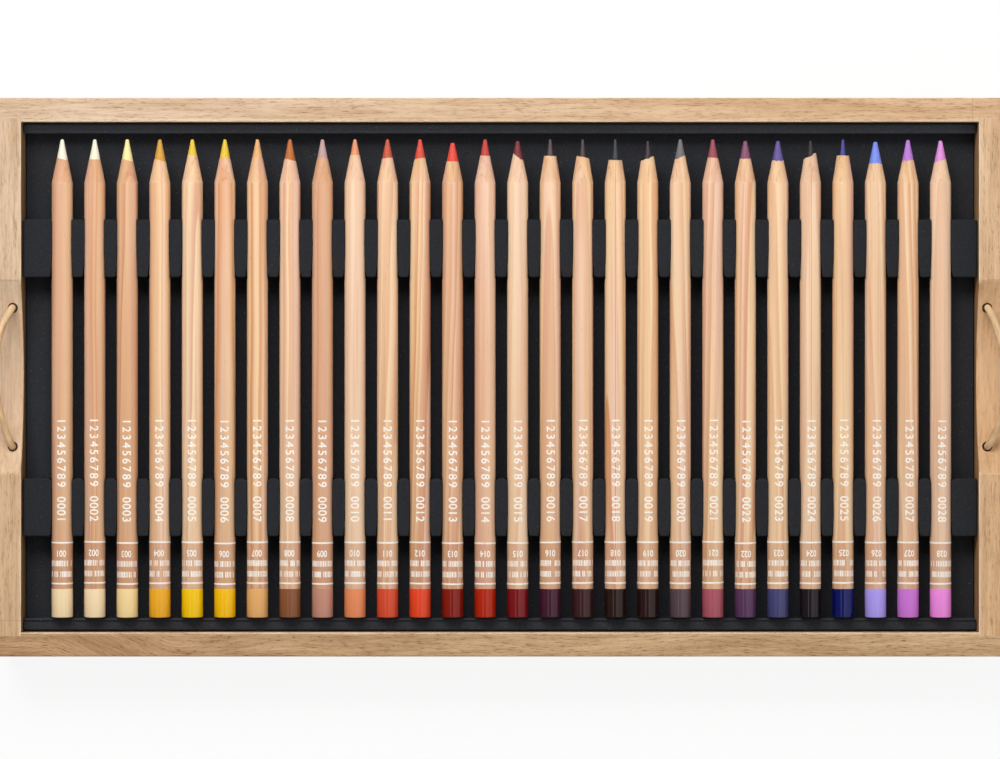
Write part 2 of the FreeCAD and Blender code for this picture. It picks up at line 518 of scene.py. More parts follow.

# %% [markdown]
# ## Oak
#
# The four boards keep their shape from the frame, and need only their wood. Oak shows four things
# from arm's length: broad pale and tan clouds, soft streaks where the growth rings run out,
# thousands of short dark pore dashes that gather in those streaks, and fine fibre. All of it is
# noise pulled out along the grain. The grain wanders a little. In the front rail it wanders
# twice as much, and crosses the board at a slant near the left end.
#
# Object coordinates keep the pattern solid, so the grain runs on over an edge and turns into end
# grain by itself where a board is cut across.
#
# Each mark on a board is a share from 0 to 1 that says where it is: a painted highlight lies along
# the inner edges and comes and goes along them, a glue line crosses two of the boards, the cord
# holes are painted dark as shade in them, the finger dips have a tone of their own, and the inner
# walls get painted shade.

# %% Marks on the top of a board
arris_on_top = (1.0 * MM, 0.4 * MM)
arris_highlight_band = (0.9 * MM, 1.6 * MM)
arris_highlight_line = (0.3 * MM, 0.6 * MM)
arris_patches = 45
seam_reach = (0.06 * MM, 0.2 * MM)


def arris_highlight_share(tree, place, axis, edge):
    """How much painted highlight lies on a board's inner edge, by how near it is. It comes and goes
    along it.
    """
    parts = split(tree, place)
    away = maths(tree, "ABSOLUTE", minus(tree, parts[axis], edge))
    on_top = between(tree, parts[2], *(rim_height - depth for depth in arris_on_top))
    band = between(tree, away, *arris_highlight_band, 0.15, 0.0)
    line = between(tree, away, *arris_highlight_line, 0.8, 0.0)
    patches = (arris_patches, 1, 1) if axis == 1 else (1, arris_patches, 1)
    patchy = between(tree, grain(tree, place, patches), 0.3, 0.6, 0.4, 1.0)
    share = times(tree, maths(tree, "MAXIMUM", band, line), patchy)
    return times(tree, share, on_top)


def seam_share(tree, place, axis, where):
    """A hairline across a board, where two lengths of wood are glued."""
    away = maths(tree, "ABSOLUTE", minus(tree, split(tree, place)[axis], where))
    return between(tree, away, *seam_reach, 0.3, 0.0)


# %% Marks in the walls, holes and dips
# The first value of a pair is along x and the second along y.
board_reach = (180 * MM, 90 * MM)
inner_wall_reach = ((175 * MM, 176 * MM), (93.5 * MM, 94.5 * MM))
hole_shade_reach = (1.75 * MM, 1.95 * MM)
dip_below_rim = (0.5 * MM, 0.2 * MM)


def painted_wall_shade(tree, place, axis):
    """Where a board's inner wall is, by which way it faces and how far out it lies: there the wood
    takes painted shade.
    """
    normal = node(tree, "ShaderNodeNewGeometry").outputs["Normal"]
    faces, spots = (split(tree, vector)[axis] for vector in (normal, place))
    sideways = between(tree, maths(tree, "ABSOLUTE", faces), 0.6, 0.9)
    inside = between(tree, maths(tree, "ABSOLUTE", spots), *inner_wall_reach[axis], 1.0, 0.0)
    return times(tree, sideways, inside)


def painted_hole_shade(tree, place):
    """Where the drill went: its walls are painted dark, as shade inside the hole."""
    x, y = (maths(tree, "ABSOLUTE", part) for part in list(split(tree, place))[:2])
    spots = {0: combined(tree, x, y), 1: (hole_x, hole_y, 0)}
    away = node(tree, "ShaderNodeVectorMath", spots, operation="DISTANCE").outputs["Value"]
    return between(tree, away, *hole_shade_reach, 1.0, 0.0)


def dip_share(tree, place):
    """Where the finger dip is: all that lies clearly under the rim."""
    low, high = (rim_height - depth for depth in dip_below_rim)
    return between(tree, split(tree, place)[2], low, high, 1.0, 0.0)


def drifting(tree, place, axis, first, second, settled=1.0):
    """A tint that drifts from the first to the second along the board, lowest end first.

    It has settled on the second at that share of the way from the middle to the far end.
    """
    reach = board_reach[axis]
    spot = split(tree, place)[axis]
    return mixed(tree, between(tree, spot, -reach, reach * settled), first, second)


# %% How the grain lies


def along_the_grain(tree, place, grain_along_y, wander, shift, slant=None):
    """Coordinates with the grain along x. Each board has its own place in the pattern."""
    turn = (0, 0, math.pi / 2) if grain_along_y else (0, 0, 0)
    board = stretched(tree, place, (1, 1, 1), (shift, shift / 3, shift / 7), turn)
    sway = grain(tree, board, (20, 30, 30), 1)
    x, y, z = split(tree, board)
    y = plus(tree, y, times(tree, sway, wander))
    if slant:
        start, stop, drop = slant
        y = plus(tree, y, between(tree, x, start, stop, -drop, 0.0))
    return combined(tree, x, y, z)


# %% Oak
# How dark the painted shade in the cord holes is.
hole_shade_tint = (0.08, 0.04, 0.02, 1.0)
pores_left_by_sanding = 0.3


def oak(
    name, light, dark, tints, grain_along_y=False, wander=0.003, figure=1.0, shift=0.0, **marks
):
    """Oak in two tones. It drifts between two tints, and figure is how clear its streaks are."""
    made, tree, surface, place = finish(name)
    bent = along_the_grain(tree, place, grain_along_y, wander, shift, marks.get("slant"))
    clouds = grain(tree, bent, (14, 160, 160), 2, 0.5)
    streaks = grain(tree, bent, (55, 850, 500), 2, 0.55)
    pores = grain(tree, bent, (330, 2500, 2500), 2, 0.6)
    fibre = grain(tree, bent, (150, 2400, 2400), 2)
    tone = mixed(tree, between(tree, clouds, 0.25, 0.75), dark, light)
    in_streaks = times(tree, between(tree, streaks, 0.42, 0.72), 0.38 * figure)
    tone = mixed(tree, in_streaks, tone, colour(168, 128, 88))
    tone = mixed(tree, between(tree, streaks, 0.45, 0.2, 0, 0.4), tone, colour(246, 218, 184))
    open_pores = between(tree, pores, 0.56, 0.64)
    gathered = between(tree, streaks, 0.35, 0.6, 0.15 * figure, 0.5 * figure)
    gathered = times(tree, open_pores, gathered)
    if "dip" in marks:
        in_dip = dip_share(tree, place)
        sanded = between(tree, in_dip, 0.0, 1.0, 1.0, pores_left_by_sanding)
        gathered = times(tree, gathered, sanded)
    tone = mixed(tree, gathered, tone, colour(122, 70, 34))
    tone = mixed(tree, between(tree, fibre, 0.35, 0.7, 0, 0.2), tone, colour(250, 224, 190))
    tone = tinted(tree, tone, drifting(tree, place, 1 if grain_along_y else 0, *tints))
    if "dip" in marks:
        tone = mixed(tree, in_dip, tone, tinted(tree, tone, marks["dip"]))
        # Painted shade in the cord holes.
        tone = mixed(tree, painted_hole_shade(tree, place), tone, tinted(tree, tone, hole_shade_tint))
    # The inner walls get painted shade: a tint darker than the wood.
    wall = painted_wall_shade(tree, place, 0 if grain_along_y else 1)
    tone = mixed(tree, wall, tone, tinted(tree, tone, marks["wall"]))
    # A painted highlight along the rounded inner edge, in a pale colour.
    tone = mixed(tree, arris_highlight_share(tree, place, *marks["arris"]), tone, colour(250, 226, 194))
    if "seam" in marks:
        tone = mixed(tree, seam_share(tree, place, *marks["seam"]), tone, colour(120, 84, 54))
    rough = between(tree, clouds, 0.3, 0.7, 0.52, 0.62)
    plug(tree, surface, {"Base Color": tone, "Roughness": rough, "Specular IOR Level": 0.3})
    bumped(tree, surface, minus(tree, fibre, open_pores), 0.05 * MM, 0.8)
    return made


def wear(node_name, made):
    """Gives a CAD node's one material slot another finish."""
    mesh = nodes[node_name].data
    mesh.materials.clear()
    mesh.materials.append(made)
    print(node_name, "is finished in", made.name)


# %% The four boards
# Each board's wall tint is painted shade on its inner wall.
back_seam, left_seam = 171.65 * MM, -88.4 * MM
back_oak = oak(
    "oak_back",
    colour(234, 204, 174),
    colour(214, 180, 144),
    (colour(245, 245, 247), colour(247, 236, 220)),
    shift=0.31,
    wall=(0.35, 0.3, 0.22, 1.0),
    arris=(1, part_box("back_rail")[0].y),
    seam=(0, back_seam),
)
front_oak = oak(
    "oak_front",
    colour(218, 180, 138),
    colour(184, 144, 104),
    (colour(232, 221, 208), colour(255, 255, 248), 0.0),
    wander=0.006,
    figure=1.6,
    slant=(-170 * MM, -115 * MM, 18 * MM),
    wall=(0.5, 0.42, 0.32, 1.0),
    arris=(1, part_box("front_rail")[1].y),
)
# Its drift is painted shade: darker towards the front, away from the key light.
left_oak = oak(
    "oak_left",
    colour(232, 200, 168),
    colour(208, 172, 134),
    (colour(240, 231, 220), colour(245, 245, 248)),
    True,
    figure=0.85,
    shift=0.53,
    wall=(0.42, 0.34, 0.22, 1.0),
    dip=(1.08, 1.11, 1.15, 1.0),
    arris=(0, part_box("left_end_board")[1].x),
    seam=(1, left_seam),
)
# Its drift is painted shade too: darker towards the front, away from the key light.
right_oak = oak(
    "oak_right",
    colour(236, 198, 158),
    colour(208, 166, 124),
    (colour(249, 241, 230), colour(255, 255, 254)),
    True,
    figure=0.85,
    shift=0.87,
    wall=(0.65, 0.58, 0.48, 1.0),
    dip=(0.94, 0.89, 0.83, 1.0),
    arris=(0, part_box("right_end_board")[0].x),
)
for node_name, made in (
    ("back_rail", back_oak),
    ("front_rail", front_oak),
    ("left_end_board", left_oak),
    ("right_end_board", right_oak),
):
    wear(node_name, made)

# %% [markdown]
# ## The bottom panel
#
# A thin birch plywood panel sits in a groove under the foam. Only its underside shows, and only
# from below: pale, close-grained wood with long faint cathedral lines. So it keeps its shape from
# the frame, and gets a plain finish.

# %% Plywood


def plywood():
    """Pale birch with broad lines and fine fibre."""
    made, tree, surface, place = finish("birch_plywood")
    broad = grain(tree, place, (7, 60, 60), 3, 0.5, 0.6)
    fibre = grain(tree, place, (60, 1800, 1800), 2)
    tone = mixed(tree, between(tree, broad, 0.3, 0.7), colour(222, 190, 150), colour(205, 168, 124))
    tone = mixed(tree, between(tree, fibre, 0.4, 0.7, 0, 0.35), tone, colour(178, 138, 96))
    plug(tree, surface, {"Base Color": tone, "Roughness": 0.6})
    bumped(tree, surface, fibre, 0.03 * MM)
    return made


wear("bottom_panel", plywood())

# %% [markdown]
# ## Foam
#
# The lining is closed-cell foam, cut with a hot wire: nearly black, quite matt, with soft edges
# and a skin of tiny cells, a few of which catch the light. It is one foam, painted lighter or
# darker for each level as a stand-in for the light it gets: darkest for the combs, lightest for
# the ledge at the tips.

# %% Foam finish


def charcoal_foam(name, painted_light_level):
    """Dark foam with its cells, soft patches and specks of light."""

    def shade(*tone):
        return scaled(colour(*tone), painted_light_level)

    made, tree, surface, place = finish(name)
    cells = grain(tree, place, (2600, 2600, 2600), 2, 0.6)
    patches = grain(tree, place, (60, 60, 60), 2)
    specks = grain(tree, place, (1500, 1500, 1500), 1, shift=(3, 5, 7))
    tone = mixed(tree, between(tree, cells, 0.3, 0.7), shade(43, 44, 48), shade(56, 57, 61))
    tone = mixed(tree, between(tree, patches, 0.35, 0.7, 0, 0.35), tone, shade(49, 52, 57))
    tone = mixed(tree, between(tree, specks, 0.72, 0.8), tone, shade(94, 95, 100))
    plug(tree, surface, {"Base Color": tone, "Roughness": 0.95, "Specular IOR Level": 0.15})
    bumped(tree, surface, cells, 0.12 * MM)
    return made


# Each level paints in light and shade: the combs darker, the ledge at the tips much lighter.
comb_foam = charcoal_foam("foam_of_the_combs", 0.71)
bed_foam = charcoal_foam("foam_of_the_bed", 0.92)
tip_ledge_foam = charcoal_foam("foam_of_the_tip_ledge", 2.5)
end_ledge_foam = charcoal_foam("foam_of_the_end_ledge", 1.1)

# %% [markdown]
# ### Foam bars
#
# The floor and the two ledges are plain bars, but a bar of foam has no sharp edge: the top edges
# round over and the upright corners are soft. One function sweeps a rounded outline from one end
# to the other, and draws it in a little at both ends.

# %% Foam bars
soft_edge = 0.7 * MM
corner_steps = 4
corner_angles = [math.pi / 2 * step / corner_steps for step in range(corner_steps + 1)]
# How far in and how far along a rounded corner is, as shares of its radius.
quarter = [(1 - math.sin(a), 1 - math.cos(a)) for a in corner_angles]


def bar_outline(low, high, inset):
    """The outline of a bar, seen from its end: flat below, with both top edges rounded."""
    y0, y1, top = low.y + inset, high.y - inset, high.z
    edge = soft_edge
    outline = [(y0, low.z), (y0, top - edge)]
    outline += [(y0 + edge * b, top - edge * a) for a, b in reversed(quarter)][1:]
    outline += [(y1 - edge * b, top - edge * a) for a, b in quarter]
    return outline + [(y1, low.z)]


def foam_bar(name, node_name, made_of):
    """A soft-edged bar as large as the frame's plain one."""
    low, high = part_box(node_name)
    rings, along = [], []
    left = [(low.x + soft_edge * a, soft_edge * b) for a, b in reversed(quarter)]
    right = [(high.x - soft_edge * a, soft_edge * b) for a, b in quarter]
    for x, inset in left + right:
        rings.append([(x, y, z) for y, z in bar_outline(low, high, inset)])
        along.append(x)
    made = skin(name, rings, along, [made_of])
    in_the_tray(made, node_name)
    print(name, "is", round((high.z - low.z) / MM, 1), "mm thick")


foam_bar("foam_bed", "foam_floor", bed_foam)
foam_bar("foam_ledge_at_tips", "foam_back_ledge", tip_ledge_foam)
foam_bar("foam_ledge_at_ends", "foam_front_ledge", end_ledge_foam)

# %% [markdown]
# ### Foam combs
#
# A comb holds each pencil in a round notch that closes a little over it. All notches of a comb
# are alike, so one cell is modelled, half a tooth on each side of a notch, and Geometry Nodes
# repeat it 28 times and weld the copies. The hot wire flared each notch towards the comb's faces,
# more at one face than at the other, and the lips of one comb grip tighter than those of the
# other. So each comb has a cut of its own.

# %% How each comb is cut
Cut = namedtuple("Cut", "lip_half corner_front corner_back flare_front flare_back")
cut_at_tips = Cut(3.46 * MM, 0.5 * MM, 0.6 * MM, (12 * MM, 0.75 * MM), (2 * MM, 0.15 * MM))
cut_at_ends = Cut(3.66 * MM, 0.5 * MM, 1.0 * MM, (8 * MM, 0.55 * MM), (3 * MM, 0.3 * MM))
notch_radius = 3.88 * MM
tooth_top_edge = 0.5 * MM
lip_round = 0.35 * MM
notch_steps = 18
flare_shares = (0.2, 0.45, 0.7, 1.0)
weld_reach = 0.02 * MM
comb_low, comb_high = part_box("foam_tip_comb")
comb_half_depth = (comb_high.y - comb_low.y) / 2


def eased(inward, edge):
    """How far a surface has drawn back on a rounded edge, so far in from the face."""
    left = max(0.0, 1 - inward / edge)
    return edge * (1 - math.sqrt(1 - left ** 2))


def stations(cut):
    """Places along a tooth: where, how much wider the notch is there, how much lower the top."""
    found = []
    for side, corner, (reach, depth) in (
        (-1, cut.corner_front, cut.flare_front),
        (1, cut.corner_back, cut.flare_back),
    ):
        steps = [corner * a for a, _ in reversed(quarter)]
        steps += [corner + (reach - corner) * share for share in flare_shares]
        for inward in sorted(steps):
            widen = eased(inward, corner) + depth * (1 - min(1, inward / reach)) ** 2
            lower = eased(inward, tooth_top_edge)
            found.append((side * (comb_half_depth - inward), widen, lower))
    return sorted(found)


print(len(stations(cut_at_tips)), "stations along a tooth")

# %% One notch of a comb


def notch_profile(cut, widen, lower):
    """Half tooth, lip, round notch, lip and half tooth, as points across the row and up."""
    radius, lip, top = notch_radius + widen, cut.lip_half + widen, comb_high.z - lower
    opening = math.asin(lip / radius)
    angles = np.linspace(opening, 2 * math.pi - opening, notch_steps)
    arc = [(radius * math.sin(a), axis_height + radius * math.cos(a)) for a in angles]
    before = [
        (pencil_pitch / 2, top),
        (lip + lip_round, top),
        (lip + lip_round * 0.3, top - lip_round * 0.3),
        (lip, top - lip_round),
    ]
    return before + arc + [(-x, z) for x, z in reversed(before)]


def comb_cell(cut):
    """The surface of one notch, open towards its neighbours, centred on its pencil."""
    rows = stations(cut)
    points, faces = [], []
    for y, widen, lower in rows:
        points += [(x, y, z) for x, z in notch_profile(cut, widen, lower)]
    across = len(points) // len(rows)
    for s in range(len(rows) - 1):
        for p in range(across - 1):
            here = s * across + p
            faces.append((here, here + 1, here + across + 1, here + across))
    base = len(points)
    for y in (-comb_half_depth, comb_half_depth):
        points += [(pencil_pitch / 2, y, comb_low.z), (-pencil_pitch / 2, y, comb_low.z)]
    last = (len(rows) - 1) * across
    faces.append((*reversed(range(across)), base, base + 1))
    faces.append((*range(last, last + across), base + 3, base + 2))
    faces.append((base, base + 2, base + 3, base + 1))
    mesh = bpy.data.meshes.new("comb_cell")
    mesh.from_pydata(points, [], faces)
    print("one notch has", len(faces), "faces")
    return mesh


# %% The solid ends of a comb
block_corner = 0.6 * MM


def comb_end(cut, side, reach):
    """The block beyond the last notch, open towards it and rounded where it meets the board."""
    outline = [(y, lower) for y, _, lower in stations(cut)]
    rings = [(reach - block_corner * a, b) for a, b in reversed(quarter)]
    points = []
    for x, inset in rings + [(pencil_pitch / 2, 0)]:
        shrink = 1 - block_corner * inset / comb_half_depth
        drop = tooth_top_edge * inset
        points.append((side * x, -comb_half_depth * shrink, comb_low.z))
        points += [(side * x, y * shrink, comb_high.z - max(d, drop)) for y, d in outline]
        points.append((side * x, comb_half_depth * shrink, comb_low.z))
    around = len(outline) + 2
    faces = [tuple(range(around))]
    for ring in range(len(rings)):
        for j in range(around):
            k = (j + 1) % around
            here, there = ring * around, (ring + 1) * around
            faces.append((here + j, there + j, there + k, here + k))
    if side > 0:
        faces = [tuple(reversed(face)) for face in faces]
    mesh = bpy.data.meshes.new("comb_end")
    mesh.from_pydata(points, [], faces)
    holder = bpy.data.objects.new("comb_end", mesh)
    bpy.context.scene.collection.objects.link(holder)
    return holder


# %% Helpers for Geometry Nodes


def new_tree(name, sockets):
    """A Geometry Nodes tree with named inputs, and its input and output nodes."""
    tree = bpy.data.node_groups.new(name, "GeometryNodeTree")
    tree.interface.new_socket("Geometry", in_out="INPUT", socket_type="NodeSocketGeometry")
    for key, kind in sockets.items():
        tree.interface.new_socket(key, in_out="INPUT", socket_type="NodeSocket" + kind)
    tree.interface.new_socket("Geometry", in_out="OUTPUT", socket_type="NodeSocketGeometry")
    return tree, node(tree, "NodeGroupInput").outputs, node(tree, "NodeGroupOutput")


def gathered_up(tree, parts):
    """Joins geometry from several sockets."""
    whole = node(tree, "GeometryNodeJoinGeometry")
    for part in parts:
        tree.links.new(part, whole.inputs[0])
    return whole.outputs[0]


def made_real(tree, geometry):
    """Turns instances into geometry of their own."""
    return node(tree, "GeometryNodeRealizeInstances", {0: geometry}).outputs[0]


def welded(tree, geometry, reach):
    """Merges the points that lie together."""
    return node(
        tree, "GeometryNodeMergeByDistance", {"Geometry": geometry, "Distance": reach}
    ).outputs[0]


def hand_out(tree, result, geometry, made_of):
    """Gives geometry its finish and sends it to the tree's output."""
    dressed = node(
        tree, "GeometryNodeSetMaterial", {"Geometry": geometry, "Material": made_of}
    ).outputs[0]
    plug(tree, result, {0: dressed})


# %% A tree that repeats the notch


def comb_tree():
    """One notch from the mesh itself, repeated in a row, between two solid ends."""
    tree, given, result = new_tree(
        "row_of_notches",
        {
            "Notches": "Int",
            "Pitch": "Float",
            "Left end": "Object",
            "Right end": "Object",
            "Finish": "Material",
        },
    )
    line = {"Count": given["Notches"], "Offset": combined(tree, given["Pitch"])}
    row = node(tree, "GeometryNodeMeshLine", line, mode="OFFSET").outputs[0]
    cells = node(
        tree, "GeometryNodeInstanceOnPoints", {"Points": row, "Instance": given["Geometry"]}
    ).outputs[0]
    left, right = (
        node(tree, "GeometryNodeObjectInfo", {"Object": given[key]}).outputs["Geometry"]
        for key in ("Left end", "Right end")
    )
    gaps = minus(tree, given["Notches"], 1.0)
    reach = combined(tree, times(tree, gaps, given["Pitch"]))
    moved = node(
        tree, "GeometryNodeTransform", {"Geometry": right, "Translation": reach}
    ).outputs[0]
    real = made_real(tree, gathered_up(tree, (cells, left, moved)))
    hand_out(tree, result, welded(tree, real, weld_reach), given["Finish"])
    return tree


# %% Run a tree on a mesh


def grown(name, mesh, tree, inputs, shift=(0, 0, 0)):
    """Runs a tree on a mesh and returns the result as a plain mesh, moved to its place."""
    holder = placed(name + "_seed", mesh)
    modifier = holder.modifiers.new("grow", "NODES")
    modifier.node_group = tree
    for item in tree.interface.items_tree:
        if item.in_out == "INPUT" and item.name in inputs:
            modifier[item.identifier] = inputs[item.name]
    seen = holder.evaluated_get(bpy.context.evaluated_depsgraph_get())
    result = bpy.data.meshes.new_from_object(seen)
    result.name = name
    holder.modifiers.remove(modifier)
    bpy.data.objects.remove(holder)
    for corner in result.vertices:
        corner.co = [value + move for value, move in zip(corner.co, shift)]
    return result


# %% The two combs
notch_row = comb_tree()


def foam_comb(name, node_name, cut):
    """A comb that fills the frame's plain one from board to board."""
    low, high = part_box(node_name)
    first, last = axis_x(pencil_nodes[0]), axis_x(pencil_nodes[-1])
    ends = [comb_end(cut, -1, first - low.x), comb_end(cut, 1, high.x - last)]
    inputs = {
        "Notches": len(pencil_nodes),
        "Pitch": pencil_pitch,
        "Left end": ends[0],
        "Right end": ends[1],
        "Finish": comb_foam,
    }
    made = grown(name, comb_cell(cut), notch_row, inputs, (first, (low.y + high.y) / 2, 0))
    for holder in ends:
        bpy.data.objects.remove(holder)
    sharpened(made, 40)
    comb = placed(name, made)
    in_the_tray(comb, node_name)
    print(name, "has", len(made.polygons), "faces")


foam_comb("foam_comb_at_tips", "foam_tip_comb", cut_at_tips)
foam_comb("foam_comb_at_ends", "foam_cap_comb", cut_at_ends)

# %% [markdown]
# ## The pencils
#
# Each pencil is a cedar casing, a soft pigment core, a dipped end and its printing. They are made
# as separate pieces, because each of them has another finish.
#
# No two points are alike. A pencil sharpened well shows a clean line between wood and core, and
# others are ragged or chipped. Six hard ones have a thin core that stands out of a flat collar of
# wood. So each pencil gets a row here: its core and end colours, how pink and how pale its cedar
# is, how long the core is bare on its left and right, how far the point is worn, and how ragged
# the wood's edge is.

# %% What differs from pencil to pencil
Pencil = namedtuple("Pencil", "tone core end pink pale left right worn ragged")
pencils = [
    Pencil("cream", (240, 231, 210), (236, 210, 168), 0.35, -0.15, 7.5, 8.6, 0.0, 0.0),
    Pencil("ivory", (240, 231, 206), (234, 208, 168), 0.35, 0.0, 8.2, 8.2, 0.0, 0.05),
    Pencil("straw", (246, 226, 156), (245, 215, 154), 0.5, -0.2, 7.9, 9.0, 0.0, 0.05),
    Pencil("ochre", (208, 153, 56), (220, 159, 42), 0.4, 0.5, 7.9, 9.0, 0.0, 0.1),
    Pencil("lemon", (228, 192, 52), (237, 192, 5), 0.5, 0.8, 6.4, 6.8, 0.0, 0.05),
    Pencil("yellow", (228, 190, 50), (231, 178, 3), 0.5, 0.25, 7.7, 7.7, 0.0, 0.1),
    Pencil("sand", (224, 170, 112), (211, 158, 98), 0.2, 0.3, 7.5, 7.6, 0.0, 0.1),
    Pencil("nut", (185, 105, 50), (126, 79, 53), 0.3, 0.7, 7.9, 8.7, 0.0, 0.1),
    Pencil("taupe", (190, 155, 150), (179, 128, 109), 0.6, -0.5, 7.6, 7.9, 0.0, 0.1),
    Pencil("salmon", (225, 145, 105), (212, 129, 86), 0.4, 1.1, 6.6, 6.6, 0.0, 0.05),
    Pencil("brick", (195, 85, 60), (196, 73, 49), 0.3, 0.6, 7.9, 7.5, 0.0, 0.05),
    Pencil("vermilion", (215, 75, 55), (210, 69, 42), 0.35, 0.35, 8.1, 7.5, 0.0, 0.1),
    Pencil("scarlet", (225, 70, 55), (123, 36, 29), 0.25, 0.2, 8.9, 9.0, 1.3, 0.05),
    Pencil("red", (190, 65, 55), (164, 43, 27), 0.85, 0.3, 6.8, 6.8, 0.0, 0.1),
    Pencil("maroon", (120, 45, 50), (114, 32, 35), 0.3, 1.0, 5.9, 8.6, 0.6, 0.15),
    Pencil("plum", (95, 75, 80), (67, 36, 49), 0.2, 0.45, 6.9, 7.0, 0.0, 0.0),
    Pencil("umber", (80, 65, 68), (61, 37, 39), 0.25, 0.5, 6.9, 7.8, 0.0, 0.1),
    Pencil("sepia", (65, 65, 70), (47, 34, 31), 0.4, 0.6, 8.4, 8.5, 0.0, 0.1),
    Pencil("chestnut", (70, 58, 62), (47, 32, 32), 0.3, 0.6, 8.6, 7.2, 0.6, 0.3),
    Pencil("graphite", (110, 108, 110), (81, 66, 71), 0.55, 0.8, 8.2, 6.6, 0.0, 0.15),
    Pencil("rose", (154, 74, 84), (157, 81, 93), 0.5, 0.5, 7.5, 7.6, 0.0, 0.1),
    Pencil("aubergine", (134, 80, 108), (83, 55, 84), 0.4, 0.5, 7.9, 7.9, 0.6, 0.35),
    Pencil("violet", (100, 82, 150), (67, 66, 106), 0.1, 0.7, 8.6, 8.6, 0.6, 0.35),
    Pencil("black", (55, 50, 52), (38, 33, 37), 0.75, 1.1, 8.0, 5.9, 0.5, 0.3),
    Pencil("navy", (75, 75, 150), (26, 32, 88), 0.3, 0.6, 6.8, 6.8, 0.0, 0.1),
    Pencil("periwinkle", (120, 140, 230), (160, 144, 221), 0.6, 0.7, 9.7, 9.7, 0.9, 0.05),
    Pencil("orchid", (185, 120, 210), (189, 111, 195), 0.5, 0.65, 8.6, 8.6, 0.2, 0.35),
    Pencil("pink", (220, 140, 215), (223, 132, 207), 0.5, 1.1, 9.3, 7.9, 0.5, 0.1),
]
thin_cored = ("plum", "umber", "sepia", "chestnut", "black", "navy")
split_cased = ("sepia", "black")
print(len(pencils), "pencils,", len(thin_cored), "with a thin hard core")

# %% [markdown]
# ### Cedar
#
# Pencil cedar is sawn from a block whose growth rings lie at any angle, so a barrel shows slices
# of flat layers that run almost straight along it. A ring has two sides: it darkens slowly from
# pale early wood to tan late wood, then jumps back to pale at the next winter. A saw-toothed wave
# over the distance across the rings gives both edges. Soft noise makes some rings wide and some
# narrow, and a random draw for each ring gives it a strength and a hue of its own: cream or rosy,
# golden or orange. Long slow streaks of blush, gold and paleness lie over the rings, then fine
# lines, and last the small dark vessels and flecks.
#
# The angle, pinkness and paleness come with the mesh as one colour attribute, so that all pencils
# share one recipe. It is used twice: with clear varnish for the barrel, and bare for the cone.
# Two of the casings show a dark glue line where their halves meet.

# %% Distance across the growth rings
rings_per_metre = 400
ring_lean = 0.05
ring_waver = 1.8 * MM
swings_per_metre = 190.0
swing_in_rings = 2.4


def across_rings(tree, place, turned, turn):
    """How many rings there are up to here. They lean and waver a little along the pencil."""
    parts = split(tree, turned)
    slope = times(tree, minus(tree, turn, 0.5), ring_lean)
    waver = times(tree, grain(tree, place, (40, 15, 40), 1), ring_waver)
    reach = plus(tree, parts[0], times(tree, parts[1], slope))
    reach = plus(tree, reach, waver)
    even = times(tree, reach, rings_per_metre)
    line = combined(tree, times(tree, reach, swings_per_metre))
    uneven = times(tree, noise(tree, line, 1), swing_in_rings)
    return plus(tree, even, uneven)


print("a ring is about", 1 / rings_per_metre / MM, "mm wide")

# %% Where varnish is thick, and where halves are glued
varnish_thickens = (-60.2 * MM, -60.0 * MM)
glue_fold = (0.2475, 0.2495)


def band_share(tree, place):
    """Where the varnish lies thicker and darker, between the first ring and the dipped end."""
    return between(tree, split(tree, place)[1], *varnish_thickens, 0.32, 0.0)


def glue_share(tree):
    """A hairline along the top and bottom of the casings whose attribute asks for it."""
    wanted = node(tree, "ShaderNodeAttribute", attribute_name="glue_line").outputs["Fac"]
    round_share = split(tree, node(tree, "ShaderNodeUVMap").outputs[0])[0]
    fold = maths(tree, "PINGPONG", round_share, 0.25)
    return times(tree, between(tree, fold, *glue_fold), wanted)


# %% Cedar
most_turn = 6.0  # radians


